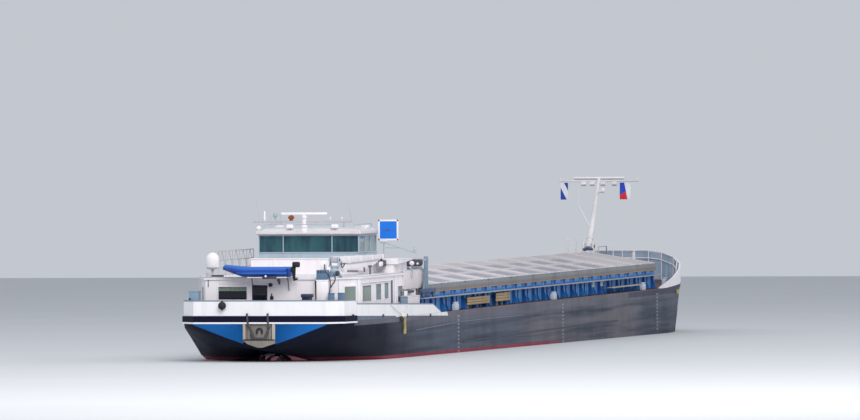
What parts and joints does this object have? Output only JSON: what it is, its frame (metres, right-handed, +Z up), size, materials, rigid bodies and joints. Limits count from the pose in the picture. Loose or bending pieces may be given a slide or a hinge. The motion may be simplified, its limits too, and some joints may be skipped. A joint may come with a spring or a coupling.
{
  "type": "river cargo barge, 1:10 scale model",
  "caption": "Self-propelled river dry-cargo barge with gabled hatch covers, hatch crane, aft house, wheelhouse, deck crane, leaning signal mast, screw and twin rudders, as a 1:10 scale model.",
  "frame": {"origin": "centre of the bounding box in plan, on the flat bottom of the hull", "axes": "+X towards the bow, +Y to port, +Z up"},
  "size_m": [8.6404, 0.954, 0.9631],
  "materials": {
    "hull_paint": "weathered satin paint",
    "navy_paint": "satin paint",
    "white_paint": "satin paint, lightly streaked",
    "blue_paint": "satin paint",
    "cover_paint": "satin pale grey",
    "grey_paint": "satin paint",
    "black_plastic": "matte",
    "fender_rubber": "matte",
    "steel": "weathered",
    "bronze": "dull",
    "boat_plastic": "gloss",
    "sign_plastic": "gloss",
    "window_glass": "clear",
    "console_wood": "varnished",
    "flag_cloth": "woven cloth"
  },
  "bodies": {
    "barge": {"hull": "hull_paint", "rub_band_stern": "navy_paint", "bulwark_stern": "white_paint", "bulwark_bow": "white_paint", "aft_house": "white_paint", "wheelhouse_base": "white_paint", "wheelhouse": "white_paint", "wheelhouse_roof": "white_paint", "antenna_yard": "white_paint", "signal_post": "white_paint", "dish_dome": "white_paint", "boat_cradle": "white_paint", "roof_rail_port": "white_paint", "bow_rail": "white_paint", "crane_casing": "white_paint", "hold_coaming": "blue_paint", "mast_pedestal": "blue_paint", "deck_crane_seat": "grey_paint", "locker_port": "grey_paint", "locker_starboard": "grey_paint", "windlass": "grey_paint", "outboard_motor": "black_plastic", "deck_crate": "black_plastic", "helm_seat": "black_plastic", "ball_fender": "fender_rubber", "engine_block": "steel", "stern_anchor": "steel", "bow_anchor_port": "steel", "bow_anchor_starboard": "steel", "ship_boat": "boat_plastic", "wheelhouse_glass": "window_glass", "helm_console": "console_wood"},
    "aft_house_door": {"aft_house_door": "white_paint"},
    "wheelhouse_door": {"wheelhouse_door": "white_paint"},
    "radar_scanner_aft": {"radar_scanner_aft": "white_paint"},
    "blue_signal_board": {"blue_signal_board": "sign_plastic"},
    "deck_crane_column": {"deck_crane_column": "white_paint"},
    "deck_crane_boom": {"deck_crane_boom": "white_paint", "deck_crane_hook": "black_plastic"},
    "hatch_crane": {"hatch_crane": "grey_paint", "hatch_crane_drive": "black_plastic"},
    "signal_mast": {"signal_mast": "white_paint", "pennant": "flag_cloth", "flag": "flag_cloth"},
    "radar_scanner_bow": {"radar_scanner_bow": "white_paint"},
    "propeller": {"propeller": "bronze"},
    "rudder_port": {"rudder_port": "steel"},
    "rudder_starboard": {"rudder_starboard": "steel"},
    "hatch_cover_01": {"hatch_cover_01": "cover_paint"},
    "hatch_cover_02": {"hatch_cover_02": "cover_paint"},
    "hatch_cover_03": {"hatch_cover_03": "cover_paint"},
    "hatch_cover_04": {"hatch_cover_04": "cover_paint"},
    "hatch_cover_05": {"hatch_cover_05": "cover_paint"},
    "hatch_cover_06": {"hatch_cover_06": "cover_paint"},
    "hatch_cover_07": {"hatch_cover_07": "cover_paint"},
    "hatch_cover_08": {"hatch_cover_08": "cover_paint"},
    "hatch_cover_09": {"hatch_cover_09": "cover_paint"},
    "hatch_cover_10": {"hatch_cover_10": "cover_paint"},
    "hatch_cover_11": {"hatch_cover_11": "cover_paint"}
  },
  "joints": [
    {"name": "aft_door_hinge", "type": "hinge", "parent": "barge", "child": "aft_house_door", "pos_m": [-4.0878, 0.088, 0.41], "axis": [0, 0, 1], "range_deg": [-100, 0]},
    {"name": "wheelhouse_door_hinge", "type": "hinge", "parent": "barge", "child": "wheelhouse_door", "pos_m": [-3.0298, 0.258, 0.63], "axis": [0, 0, 1], "range_deg": [-90, 0]},
    {"name": "radar_aft_turn", "type": "hinge", "parent": "barge", "child": "radar_scanner_aft", "pos_m": [-3.1898, 0.046, 0.835], "axis": [0, 0, 1], "continuous": true},
    {"name": "signal_board_hinge", "type": "hinge", "parent": "barge", "child": "blue_signal_board", "pos_m": [-2.9548, -0.311, 0.696], "axis": [0, 1, 0], "range_deg": [0, 90]},
    {"name": "deck_crane_slew", "type": "hinge", "parent": "barge", "child": "deck_crane_column", "pos_m": [-4.0298, -0.32, 0.575], "axis": [0, 0, 1], "range_deg": [-180, 0]},
    {"name": "deck_crane_luff", "type": "hinge", "parent": "deck_crane_column", "child": "deck_crane_boom", "pos_m": [-4.0298, -0.32, 0.619], "axis": [0, -1, 0], "range_deg": [0, 70]},
    {"name": "hatch_crane_travel", "type": "slide", "parent": "barge", "child": "hatch_crane", "axis": [1, 0, 0], "range_m": [0, 5.5]},
    {"name": "signal_mast_fold", "type": "hinge", "parent": "barge", "child": "signal_mast", "pos_m": [3.3502, 0, 0.56], "axis": [0, 1, 0], "range_deg": [-37, 50]},
    {"name": "radar_bow_turn", "type": "hinge", "parent": "signal_mast", "child": "radar_scanner_bow", "pos_m": [3.64509, 0, 0.95133], "axis": [0.6018, 0, 0.7986], "continuous": true},
    {"name": "propeller_shaft", "type": "hinge", "parent": "barge", "child": "propeller", "pos_m": [-3.9098, 0, 0.075], "axis": [1, 0, 0], "continuous": true},
    {"name": "rudder_port_stock", "type": "hinge", "parent": "barge", "child": "rudder_port", "pos_m": [-4.0448, 0.05, 0.08], "axis": [0, 0, 1], "range_deg": [-45, 45]},
    {"name": "rudder_starboard_stock", "type": "hinge", "parent": "barge", "child": "rudder_starboard", "pos_m": [-4.0448, -0.05, 0.08], "axis": [0, 0, 1], "range_deg": [-45, 45]},
    {"name": "hatch_cover_01_lift", "type": "slide", "parent": "barge", "child": "hatch_cover_01", "axis": [0, 0, 1], "range_m": [0, 0.04]},
    {"name": "hatch_cover_02_lift", "type": "slide", "parent": "barge", "child": "hatch_cover_02", "axis": [0, 0, 1], "range_m": [0, 0.04]},
    {"name": "hatch_cover_03_lift", "type": "slide", "parent": "barge", "child": "hatch_cover_03", "axis": [0, 0, 1], "range_m": [0, 0.04]},
    {"name": "hatch_cover_04_lift", "type": "slide", "parent": "barge", "child": "hatch_cover_04", "axis": [0, 0, 1], "range_m": [0, 0.04]},
    {"name": "hatch_cover_05_lift", "type": "slide", "parent": "barge", "child": "hatch_cover_05", "axis": [0, 0, 1], "range_m": [0, 0.04]},
    {"name": "hatch_cover_06_lift", "type": "slide", "parent": "barge", "child": "hatch_cover_06", "axis": [0, 0, 1], "range_m": [0, 0.04]},
    {"name": "hatch_cover_07_lift", "type": "slide", "parent": "barge", "child": "hatch_cover_07", "axis": [0, 0, 1], "range_m": [0, 0.04]},
    {"name": "hatch_cover_08_lift", "type": "slide", "parent": "barge", "child": "hatch_cover_08", "axis": [0, 0, 1], "range_m": [0, 0.04]},
    {"name": "hatch_cover_09_lift", "type": "slide", "parent": "barge", "child": "hatch_cover_09", "axis": [0, 0, 1], "range_m": [0, 0.04]},
    {"name": "hatch_cover_10_lift", "type": "slide", "parent": "barge", "child": "hatch_cover_10", "axis": [0, 0, 1], "range_m": [0, 0.04]},
    {"name": "hatch_cover_11_lift", "type": "slide", "parent": "barge", "child": "hatch_cover_11", "axis": [0, 0, 1], "range_m": [0, 0.04]}
  ],
  "couplings": [
    {"joint": "rudder_starboard_stock", "follows": "rudder_port_stock", "ratio": 1}
  ]
}
